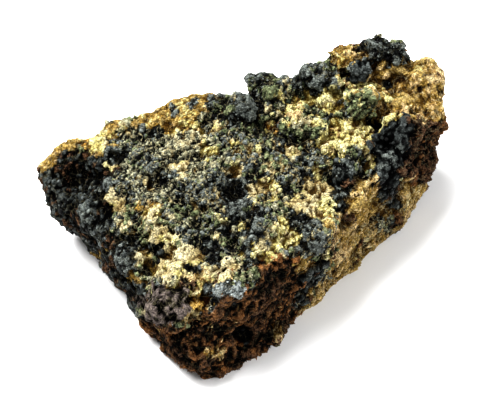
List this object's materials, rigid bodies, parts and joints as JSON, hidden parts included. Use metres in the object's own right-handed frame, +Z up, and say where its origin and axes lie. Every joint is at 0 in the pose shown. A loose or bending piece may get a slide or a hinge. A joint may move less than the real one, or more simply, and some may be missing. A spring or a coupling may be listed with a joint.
{
  "type": "mineral specimen",
  "caption": "Wedge-shaped hand specimen of epidote and magnetite skarn: a knobbly dark crust with yellow-green crumbs over ochre and rust-brown matrix, lying on its flattest side.",
  "frame": {"origin": "centre of the bounding box in plan, on the plane that the specimen rests on", "axes": "+X along the long back edge, towards the narrow end; +Y towards the back edge; +Z up, out of the crystal crust"},
  "size_m": [0.1026, 0.0654, 0.0378],
  "materials": {
    "magnetite": "satin",
    "epidote": "matte",
    "ochre": "matte",
    "rust_matrix": "matte"
  },
  "bodies": {
    "root": {"specimen": "magnetite"}
  },
  "joints": []
}
